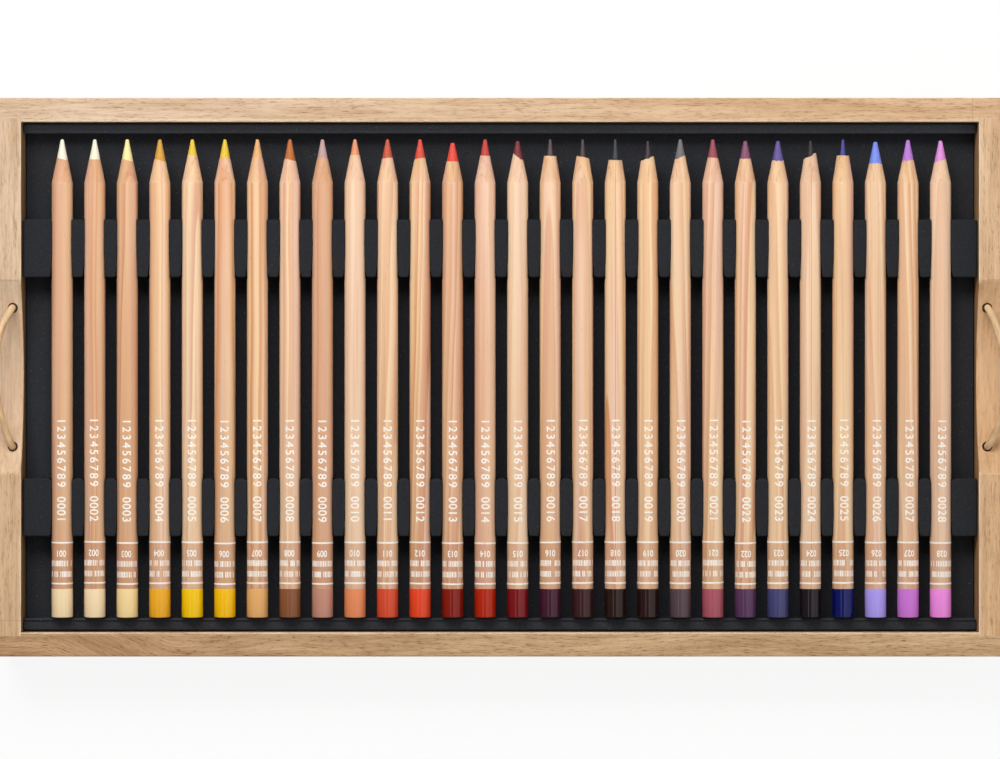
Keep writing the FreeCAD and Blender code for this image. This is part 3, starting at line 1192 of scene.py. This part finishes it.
def cedar(name, varnished):
    """Cedar with its growth rings, streaks, fine lines and flecks."""
    made, tree, surface, place = finish(name)
    timber = node(tree, "ShaderNodeAttribute", attribute_name="timber").outputs["Color"]
    pink, pale, turn = list(node(tree, "ShaderNodeSeparateColor", {0: timber}).outputs)[:3]
    turned = node(
        tree,
        "ShaderNodeVectorRotate",
        {"Vector": place, "Angle": times(tree, turn, most_turn)},
        rotation_type="Y_AXIS",
    ).outputs[0]
    count = across_rings(tree, place, turned, turn)
    phase = maths(tree, "FRACT", count)
    draw = node(
        tree, "ShaderNodeTexWhiteNoise", {"W": maths(tree, "FLOOR", count)}, noise_dimensions="1D"
    ).outputs["Color"]
    draws = node(tree, "ShaderNodeSeparateColor", {0: draw}).outputs
    hue_draw, late_draw, strength_draw = list(draws)[:3]
    darkens, ends = between(tree, phase, 0.1, 0.88), between(tree, phase, 0.93, 1.0, 1.0, 0.0)
    least, most = (0.28, 0.88) if varnished else (0.12, 0.42)
    strength = between(tree, strength_draw, 0.0, 1.0, least, most)
    late = times(tree, times(tree, darkens, ends), strength)
    rosy = plus(tree, pink, minus(tree, hue_draw, 0.5))
    blush = grain(tree, turned, (260, 5, 260), 1, shift=(4, 7, 1))
    rosy = between(tree, plus(tree, rosy, between(tree, blush, 0.3, 0.7, -0.5, 0.5)), 0.1, 0.9)
    early_wood = mixed(tree, rosy, colour(250, 216, 168), colour(244, 206, 178))
    late_wood = mixed(tree, late_draw, colour(226, 152, 92), colour(206, 138, 104))
    tone = mixed(tree, late, early_wood, late_wood)
    golden = grain(tree, turned, (330, 4, 330), 1, shift=(2, 5, 8))
    golden = times(tree, between(tree, golden, 0.52, 0.72), 0.4)
    tone = mixed(tree, golden, tone, colour(232, 164, 100))
    slow = grain(tree, turned, (170, 6, 60), 2, shift=(9, 4, 2))
    paler = plus(tree, pale, minus(tree, slow, 0.5))
    tone = mixed(tree, between(tree, paler, 0.4, 1.2, 0, 0.55), tone, colour(252, 226, 192))
    tone = mixed(tree, between(tree, paler, 0.5, -0.1, 0, 0.5), tone, colour(208, 150, 108))
    lines = grain(tree, turned, (2200, 14, 700), 2, 0.6)
    clear = 0.3 if varnished else 0.55
    tone = mixed(tree, between(tree, lines, 0.5, 0.78, 0, clear), tone, colour(196, 134, 94))
    tone = mixed(tree, between(tree, lines, 0.45, 0.2, 0, 0.25), tone, colour(255, 226, 190))
    vessels = grain(tree, turned, (1500, 22, 900), 1, shift=(2, 8, 5))
    tone = mixed(tree, between(tree, vessels, 0.76, 0.82, 0, 0.5), tone, colour(150, 88, 58))
    fleck = grain(tree, turned, (2800, 260, 2800), 2, 0.55)
    tone = mixed(tree, between(tree, fleck, 0.7, 0.78, 0, 0.45), tone, colour(158, 100, 66))
    if varnished:
        tone = mixed(tree, band_share(tree, place), tone, colour(196, 132, 100))
        coat = {"Coat Weight": 1.0, "Coat Roughness": 0.1}
        plug(tree, surface, {"Roughness": 0.42, "Specular IOR Level": 0.25, **coat})
    else:
        tone = tinted(tree, tone, colour(246, 243, 242))
        plug(tree, surface, {"Roughness": 0.7, "Specular IOR Level": 0.2})
    tone = mixed(tree, glue_share(tree), tone, colour(70, 40, 28))
    plug(tree, surface, {"Base Color": tinted(tree, tone, colour(255, 251, 252))})
    bumped(tree, surface, lines, 0.02 * MM if varnished else 0.06 * MM)
    return made


varnished_cedar = cedar("varnished_cedar", True)
bare_cedar = cedar("bare_cedar", False)

# %% [markdown]
# ### Core and dipped end
#
# The core is wax and pigment, cut by a sharpener: matt, with faint rings round the cone. The end
# is dipped in thick gloss paint of the same family of colour.

# %% Core and paint finishes
gloss_veil = 0.012
most_gain = 1.22
brightest_paint = 0.95
darkest_paint = 0.002


def pigment(tone, shade):
    """Matt wax and pigment in one shade, a little uneven, with the rings that a blade leaves."""
    made, tree, surface, place = finish("pigment_" + tone)
    rings = grain(tree, place, (300, 4200, 300), 2)
    crumbs = grain(tree, place, (1800, 1800, 1800), 2)
    dark, light = scaled(shade, 0.82), scaled(shade, 1.12, 0.02)
    body = mixed(tree, between(tree, crumbs, 0.3, 0.7), shade, light)
    body = mixed(tree, between(tree, rings, 0.5, 0.75, 0, 0.35), body, dark)
    plug(tree, surface, {"Base Color": body, "Roughness": 0.55, "Specular IOR Level": 0.3})
    bumped(tree, surface, rings, 0.03 * MM)
    return made


def gloss_paint(tone, shade):
    """Gloss adds a veil of white to what paint shows, so the paint itself is that much deeper."""
    made, tree, surface, place = finish("paint_" + tone)
    dip = grain(tree, place, (160, 160, 160), 2)
    streak = grain(tree, place, (900, 60, 900), 2)
    gain = min(most_gain, brightest_paint / max(shade[:3]))
    deeper = scaled(shade, gain, -gloss_veil)
    full = (*[max(darkest_paint, value) for value in deeper[:3]], 1.0)
    deep = scaled(full, 0.93)
    body = mixed(tree, between(tree, streak, 0.35, 0.75, 0, 0.6), full, deep)
    plug(tree, surface, {"Base Color": body, "Roughness": 0.1, "Specular IOR Level": 0.35})
    bumped(tree, surface, dip, 0.04 * MM)
    return made


# %% [markdown]
# ### The turned shapes
#
# Everything on a pencil is turned round its axis, so it is built as rings: how far along, and how
# far out. Where the wood's edge is ragged or slanted, a ring's distance along is a list, one
# value for each of its points.

# %% Rings round a pencil's axis
barrel_sides = 64
turn_angles = np.linspace(0, 2 * math.pi, barrel_sides, endpoint=False)
shoulder_y = 70.7 * MM
butt_round_along = 0.4 * MM
butt_round_across = 0.9 * MM
varnish = 0.04 * MM


def ring_at(x, y, radius):
    """One ring of a turned shape on the pencil at x."""
    y, radius = (np.broadcast_to(value, turn_angles.shape) for value in (y, radius))
    return np.stack(
        [x + radius * np.cos(turn_angles), y, axis_height + radius * np.sin(turn_angles)], axis=1
    )


def turned_piece(name, x, rows, finishes, bands=()):
    """A turned piece from rows of (how far along, how far out)."""
    rings = [ring_at(x, y, radius) for y, radius in rows]
    along = [float(np.mean(y)) for y, _ in rows]
    return skin(name, rings, along, finishes, bands)


def rounded_butt(radius, end, steps=5):
    """Rows for the rounded edge at a pencil's flat end, from the flat outwards."""
    return [
        (end + butt_round_along * (1 - math.cos(t)), radius - butt_round_across * (1 - math.sin(t)))
        for t in np.linspace(0, math.pi / 2, steps)
    ]


print("a ring has", barrel_sides, "points")

# %% Where wood meets core
full_core_radius = 1.9 * MM
full_bare_length = 7.3 * MM
thin_core_radius = 1.05 * MM
point_wear = 0.8 * MM
thin_bare_length = 6.6 * MM
collar_radius = 2.2 * MM
edge_waves = (2, 3, 5, 8, 13)
edge_roughness = 0.7


def wood_edge(row, seed):
    """How far along the wood reaches, for each point round the cone."""
    left, right = tip_end - row.left * MM, tip_end - row.right * MM
    slant = (left + right) / 2 + (right - left) / 2 * np.cos(turn_angles)
    draw = random.Random(seed)
    rough = np.zeros_like(turn_angles)
    for waves in edge_waves:
        rough += np.cos(waves * turn_angles + draw.uniform(0, 2 * math.pi)) / math.sqrt(waves)
    return slant + row.ragged * MM * rough * edge_roughness


def cone_radius(row, y):
    """How far out the cut cone is, so far along. It runs on straight where the wood is longer."""
    if row.tone in thin_cored:
        end_radius, bare = collar_radius, thin_bare_length
    else:
        end_radius, bare = full_core_radius, full_bare_length
    slope = (barrel_radius - varnish - end_radius) / (tip_end - bare - shoulder_y)
    return barrel_radius - varnish - slope * (y - shoulder_y)


print("a sharpened core is bare for", full_bare_length / MM, "mm")

# %% Casing
bore_depth = 3 * MM
cone_steps = 6
cone_start = shoulder_y + 0.05 * MM


def casing(name, x, row, seed):
    """The barrel, the cut cone and the bore as deep as it may show."""
    edge = wood_edge(row, seed)
    edge_radius = cone_radius(row, edge)
    bore = thin_core_radius if row.tone in thin_cored else float(edge_radius.min()) - 0.05 * MM
    depth = float(edge.min()) - bore_depth
    rows = rounded_butt(barrel_radius, butt_end)
    rows += [(shoulder_y - 0.1 * MM, barrel_radius), (shoulder_y, barrel_radius - varnish / 2)]
    barrel_bands = len(rows)
    for step in range(cone_steps + 1):
        y = cone_start + (edge - cone_start) * step / cone_steps
        rows.append((y, cone_radius(row, y)))
    rows += [(edge - 0.08 * MM, (edge_radius + bore) / 2), (depth, bore)]
    bands = [0] * (barrel_bands - 1) + [1] * (len(rows) - barrel_bands)
    return turned_piece(name, x, rows, [varnished_cedar, bare_cedar], bands)


# %% Core
core_steps = 6
root_depth = 2.5 * MM
point_round = 0.3 * MM
thin_point_radius = 0.45 * MM
sharp_point_radius = 0.6 * MM
blunted_by_wear = 0.13


def core(name, x, row, seed, made):
    """The core from inside its bore to the worn point."""
    edge = wood_edge(row, seed)
    tip = tip_end - point_wear - row.worn * MM
    neck = tip - point_round
    if row.tone in thin_cored:
        base_radius = np.full_like(edge, thin_core_radius - 0.03 * MM)
        point_radius = thin_point_radius
    else:
        base_radius = cone_radius(row, edge) - 0.04 * MM
        point_radius = sharp_point_radius + row.worn * blunted_by_wear * MM
    root = float(edge.min()) - root_depth
    rows = [(root, float(base_radius.min()) - 0.05 * MM), (edge - 0.3 * MM, base_radius)]
    for share in (step / core_steps for step in range(1, core_steps)):
        radius = base_radius + (point_radius - base_radius) * share
        rows.append((edge + (neck - edge) * share, radius))
    rows += [
        (neck, point_radius),
        (tip - 0.1 * MM, point_radius * 0.82),
        (tip, point_radius * 0.45),
    ]
    return turned_piece(name, x, rows, [made])


# %% Dipped end
paint_front = -77.0 * MM
paint_thickness = 0.05 * MM
paint_bite = 0.02 * MM


def dipped_end(name, x, made):
    """A skin of paint over the end, from just inside the wood to just outside."""
    under, over = barrel_radius - paint_bite, barrel_radius + paint_thickness
    rows = rounded_butt(under, butt_end + paint_bite)
    rows += [
        (paint_front - 0.05 * MM, under),
        (paint_front, barrel_radius + 0.01 * MM),
        (paint_front - 0.12 * MM, over),
    ]
    rows += reversed(rounded_butt(over, butt_end - paint_thickness))
    return turned_piece(name, x, rows, [made])


print("the paint reaches", round((paint_front - butt_end) / MM, 1), "mm up from the end")

# %% [markdown]
# ### Printing that follows the barrel
#
# The marks are plain: the digits 1 to 9 and the pencil's place in the row along the barrel, the
# same number across it, and two rows of small bars. Flat text is easy, and so is bending it: a
# point so far across goes as far round the barrel. One Geometry Nodes tree writes the digits,
# lays out the bars, gives both the thickness of ink and bends the lot.
#
# Ink spreads as it is pressed on, so each outline is pushed out a little before it is filled. And
# no two pencils sit alike in the press: the print is a little higher on one and lower on the next,
# and the rings are not quite square.

# %% Ink and layout
row_text = "123456789"
row_text_middle = -27.4 * MM
row_number_middle = -48.0 * MM
glyph_height = 3.0 * MM
ink_spread = 0.06 * MM
font_digit_share = 0.69
row_letter_spacing = 1.32
row_number_spacing = 1.1
outline_step = 0.16 * MM
code_middle = -63.95 * MM
code_height = 2.25 * MM
code_squeeze = 0.78
bar_rows = (-67.7 * MM, -71.6 * MM)
bar_size = (0.33 * MM, 2.1 * MM)
bar_step = 0.62 * MM
bar_count = 15
bars_printed = 0.86
bar_widths = (0.7, 1.6)
ink_thickness = 0.03 * MM
ink_bite = 0.02 * MM
ring_places = (-60.15 * MM, -75.0 * MM)
ring_tilt = 0.09 * MM
print_play = 0.22 * MM
ink_weld_reach = 1e-6
ring_width = 0.6 * MM


def white_ink():
    """White ink that has worn a little warmer in places."""
    made, tree, surface, place = finish("white_ink")
    worn = grain(tree, place, (900, 900, 900), 3)
    tone = mixed(tree, between(tree, worn, 0.5, 0.8), colour(255, 248, 238), colour(244, 222, 196))
    plug(tree, surface, {"Base Color": tone, "Roughness": 0.45, "Specular IOR Level": 0.3})
    bumped(tree, surface, worn, 0.01 * MM)
    return made


ink = white_ink()
print(ink.name, "is", ink_thickness / MM, "mm thick")

# %% Text and bars


def spread(tree, outline):
    """Pushes an outline of text out by as much as the ink spreads."""
    tangent = node(tree, "GeometryNodeInputTangent").outputs[0]
    outwards = node(
        tree, "ShaderNodeVectorMath", {0: tangent, 1: (0, 0, 1)}, operation="CROSS_PRODUCT"
    ).outputs[0]
    push = node(
        tree, "ShaderNodeVectorMath", {0: outwards, "Scale": ink_spread}, operation="SCALE"
    ).outputs[0]
    return node(tree, "GeometryNodeSetPosition", {"Geometry": outline, "Offset": push}).outputs[0]


def written(tree, text, height, middle, turn, spacing=1.0, squeeze=1.0):
    """A line of text, flat, turned and moved to its place, as filled faces."""
    curves = node(
        tree,
        "GeometryNodeStringToCurves",
        {"String": text, "Size": height / font_digit_share, "Character Spacing": spacing},
        align_x="CENTER",
        align_y="MIDDLE",
    ).outputs[0]
    real = made_real(tree, curves)
    dense = node(
        tree, "GeometryNodeResampleCurve", {"Curve": real, "Length": outline_step}, mode="LENGTH"
    ).outputs[0]
    bold = spread(tree, dense)
    flat = node(tree, "GeometryNodeFillCurve", {"Curve": bold}, mode="TRIANGLES").outputs[0]
    return node(
        tree,
        "GeometryNodeTransform",
        {
            "Geometry": flat,
            "Translation": (0, middle, 0),
            "Rotation": (0, 0, turn),
            "Scale": (squeeze, 1, 1),
        },
    ).outputs[0]


def bars(tree, seed, middle):
    """A row of small bars across the barrel, some wider, some left out."""
    start = (-bar_step * (bar_count - 1) / 2, middle, 0)
    row = {"Count": bar_count, "Start Location": start, "Offset": (bar_step, 0, 0)}
    line = node(tree, "GeometryNodeMeshLine", row, mode="OFFSET").outputs[0]
    bar = node(
        tree,
        "GeometryNodeMeshGrid",
        {"Size X": bar_size[0], "Size Y": bar_size[1], "Vertices X": 3, "Vertices Y": 3},
    ).outputs[0]
    printed = node(
        tree,
        "FunctionNodeRandomValue",
        {"Probability": bars_printed, "Seed": seed},
        data_type="BOOLEAN",
    ).outputs[3]
    width = node(
        tree,
        "FunctionNodeRandomValue",
        {2: bar_widths[0], 3: bar_widths[1], "Seed": plus(tree, seed, 40.0)},
        data_type="FLOAT",
    ).outputs[1]
    scale = combined(tree, width, 1.0, 1.0)
    return node(
        tree,
        "GeometryNodeInstanceOnPoints",
        {"Points": line, "Selection": printed, "Instance": bar, "Scale": scale},
    ).outputs[0]


# %% Round the barrel, and as thick as ink


def bent_round(tree, flat, given):
    """Lays flat geometry on the barrel: across becomes round, and up becomes outwards."""
    across, along, up = split(tree, node(tree, "GeometryNodeInputPosition").outputs[0])
    angle = maths(tree, "DIVIDE", across, given["Radius"])
    out = plus(tree, up, given["Radius"])
    x = times(tree, maths(tree, "SINE", angle), out)
    z = times(tree, maths(tree, "COSINE", angle), out)
    bent = combined(
        tree,
        plus(tree, x, given["Axis X"]),
        plus(tree, along, given["Shift"]),
        plus(tree, z, given["Axis Z"]),
    )
    return node(tree, "GeometryNodeSetPosition", {"Geometry": flat, "Position": bent}).outputs[0]


def thickened(tree, flat):
    """Gives flat faces the thickness of ink, closed below."""
    raised = node(
        tree,
        "GeometryNodeExtrudeMesh",
        {"Mesh": flat, "Offset Scale": ink_thickness, "Individual": False},
        mode="FACES",
    ).outputs[0]
    below = node(tree, "GeometryNodeFlipFaces", {0: flat}).outputs[0]
    return welded(tree, gathered_up(tree, (raised, below)), ink_weld_reach)


# %% Put the printing tree together


def printing_tree():
    """Digits, number, code and bars on the barrel, beside the rings that the mesh brings."""
    tree, given, result = new_tree(
        "printing",
        {
            "Number": "String",
            "Code": "String",
            "Seed": "Int",
            "Radius": "Float",
            "Axis X": "Float",
            "Axis Z": "Float",
            "Shift": "Float",
            "Finish": "Material",
        },
    )
    quarter_turn = -math.pi / 2
    parts = [
        written(tree, row_text, glyph_height, row_text_middle, quarter_turn, row_letter_spacing),
        written(
            tree, given["Number"], glyph_height, row_number_middle, quarter_turn, row_number_spacing
        ),
        written(tree, given["Code"], code_height, code_middle, math.pi, squeeze=code_squeeze),
        bars(tree, given["Seed"], bar_rows[0]),
        bars(tree, plus(tree, given["Seed"], 7.0), bar_rows[1]),
    ]
    flat = made_real(tree, gathered_up(tree, parts))
    printed = bent_round(tree, thickened(tree, flat), given)
    hand_out(tree, result, gathered_up(tree, (given["Geometry"], printed)), given["Finish"])
    return tree


printing = printing_tree()
print("the printing tree has", len(printing.nodes), "nodes")

# %% The printing on one pencil
print_sunk = 0.012 * MM


def ring_bands(x, shift, draw):
    """The two printed rings, as one mesh of two bands."""
    points, faces = [], []
    inner, outer = barrel_radius - ink_bite, barrel_radius + ink_thickness
    for place in ring_places:
        tilt, towards = draw.uniform(0, ring_tilt), draw.uniform(0, 2 * math.pi)
        middle = place + shift + tilt * np.cos(turn_angles - towards)
        rows = [
            (middle - ring_width / 2, inner),
            (middle - ring_width / 2, outer),
            (middle + ring_width / 2, outer),
            (middle + ring_width / 2, inner),
        ]
        start = len(points)
        for y, radius in rows:
            points += ring_at(x, y, radius).tolist()
        for i in range(len(rows)):
            here = start + i * barrel_sides
            there = start + (i + 1) % len(rows) * barrel_sides
            for j in range(barrel_sides):
                k = (j + 1) % barrel_sides
                faces.append((here + j, here + k, there + k, there + j))
    mesh = bpy.data.meshes.new("rings")
    mesh.from_pydata(points, [], faces)
    face_outwards(mesh)
    return mesh


def printed_marks(name, x, number):
    """All that is printed on one pencil, as one piece."""
    draw = random.Random(number + 900)
    shift = draw.uniform(-print_play, print_play)
    inputs = {
        "Number": f"{number:04d}",
        "Code": f"{number:03d}",
        "Seed": number * 11,
        "Radius": barrel_radius - print_sunk,
        "Axis X": x,
        "Axis Z": axis_height,
        "Shift": shift,
        "Finish": ink,
    }
    made = grown(name, ring_bands(x, shift, draw), printing, inputs)
    sharpened(made)
    return placed(name, made)


# %% Make all the pencils


def give_traits(piece, row, seed):
    """Stores how pink, pale and turned the cedar is, and whether the casing shows its joint."""
    mesh = piece.data
    turn = random.Random(seed + 500).random()
    timber = mesh.attributes.new("timber", "FLOAT_COLOR", "POINT")
    timber.data.foreach_set("color", (row.pink, row.pale, turn, 1.0) * len(mesh.vertices))
    glue = mesh.attributes.new("glue_line", "FLOAT", "POINT")
    glue.data.foreach_set("value", [float(row.tone in split_cased)] * len(mesh.vertices))


def pencil(number, row):
    """The four pieces of one pencil, which move together."""
    name = pencil_nodes[number - 1]
    x = axis_x(name)
    wood = casing(name + "_casing", x, row, number)
    give_traits(wood, row, number)
    lead = core(name + "_core", x, row, number, pigment(row.tone, colour(*row.core)))
    end = dipped_end(name + "_end", x, gloss_paint(row.tone, colour(*row.end)))
    marks = printed_marks(name + "_marks", x, number)
    for piece in (wood, lead, end, marks):
        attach(piece, name)
    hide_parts(name)
    return wood, lead, end, marks


made_pencils = [pencil(number, row) for number, row in enumerate(pencils, 1)]
print(len(made_pencils), "pencils of", len(made_pencils[0]), "pieces each")

# %% [markdown]
# ## The studio
#
# The tray lies on a plain white table. A softbox above its upper left corner is the main light: it
# stands close, so that corner is a little brighter than the rest. A faint one in front lights the
# sides that face it. The lines of light along a varnished barrel come from long strips on both
# sides of the camera, several on the right and one narrow one on the left, with a dark gap where
# the camera hangs. Together with the sky they add up so that a colour renders about as it is
# written.
#
# The table is matt and white. To the camera it shows most of that white as it is, and some of
# the light that falls on it, so that the tray keeps a soft shadow.

# %% Floor
table_glow = 0.88
floor_half = 4.0


def white_table():
    """Matt white that the camera and mirrors see mostly as it is."""
    made, tree, surface, place = finish("white_table")
    mottle = grain(tree, place, (9, 9, 9), 2)
    tone = mixed(tree, mottle, colour(249, 249, 249), colour(252, 252, 252))
    plug(tree, surface, {"Base Color": tone, "Roughness": 0.9, "Specular IOR Level": 0.0})
    glow = node(tree, "ShaderNodeEmission", {"Color": (1.0, 1.0, 1.0, 1.0), "Strength": 1.0})
    ray = node(tree, "ShaderNodeLightPath").outputs
    seen = maths(tree, "MAXIMUM", ray["Is Camera Ray"], ray["Is Glossy Ray"])
    seen = maths(tree, "MAXIMUM", seen, ray["Is Transmission Ray"])
    share = times(tree, seen, table_glow)
    blend = node(tree, "ShaderNodeMixShader", {0: share, 1: surface.outputs[0], 2: glow.outputs[0]})
    output = next(n for n in tree.nodes if n.type == "OUTPUT_MATERIAL")
    plug(tree, output, {"Surface": blend.outputs[0]})
    return made


corners = [(x * floor_half, y * floor_half, 0) for x, y in ((-1, -1), (1, -1), (1, 1), (-1, 1))]
floor_mesh = bpy.data.meshes.new("table")
floor_mesh.from_pydata(corners, [], [(0, 1, 2, 3)])
floor_mesh.materials.append(white_table())
floor = bpy.data.objects.new("table", floor_mesh)
bpy.context.scene.collection.objects.link(floor)
print("the table is", 2 * floor_half, "m wide")

# %% Lights


def softbox(name, direction, distance, along, covers, radiance):
    """A rectangular light that faces the tray's middle.

    It covers so many degrees each way, seen from there. Radiance is what a mirror would show.
    """
    length, width = (2 * distance * math.tan(math.radians(angle) / 2) for angle in covers)
    lamp = bpy.data.lights.new(name, "AREA")
    lamp.shape = "RECTANGLE"
    lamp.size, lamp.size_y = length, width
    lamp.energy = radiance * math.pi * length * width
    out = Vector(direction).normalized()
    side = Vector(along)
    side = (side - out * out.dot(side)).normalized()
    turned = Matrix((side, out.cross(side), out)).transposed().to_4x4()
    turned.translation = out * distance
    made = bpy.data.objects.new(name, lamp)
    made.matrix_world = turned
    made.visible_camera = False
    bpy.context.scene.collection.objects.link(made)
    print(name, "is", round(length, 2), "by", round(width, 2), "m")


softbox("upper_left_key", (-0.25, 0.62, 0.74), 0.95, (1, 0, 0), (48, 22), 7.6)
softbox("front_fill", (0, -0.95, 0.3), 2.0, (1, 0, 0), (60, 24), 0.4)

# %% Strips beside the camera
strip_distance = 2.0
strip_covers = 60
strips = [
    # How far over from straight up, how wide, both in degrees, and how bright.
    (-21.5, 11, 1.15),
    (16, 16, 0.96),
    (32, 16, 0.82),
    (48, 16, 0.66),
    (65, 18, 0.6),
    (80, 12, 0.5),
]
for number, (over, wide, radiance) in enumerate(strips, 1):
    lean = math.radians(over)
    direction = (math.sin(lean), 0, math.cos(lean))
    covers = (strip_covers, wide)
    softbox(f"strip_{number}", direction, strip_distance, (0, 1, 0), covers, radiance)

# %% Sky
sky_strength = 0.17
world = bpy.data.worlds.new("studio")
world.use_nodes = True
sky = world.node_tree.nodes["Background"]
plug(world.node_tree, sky, {"Color": (1.0, 1.0, 1.0, 1.0), "Strength": sky_strength})
bpy.context.scene.world = world
print("a plain sky, and", len(strips), "strips")
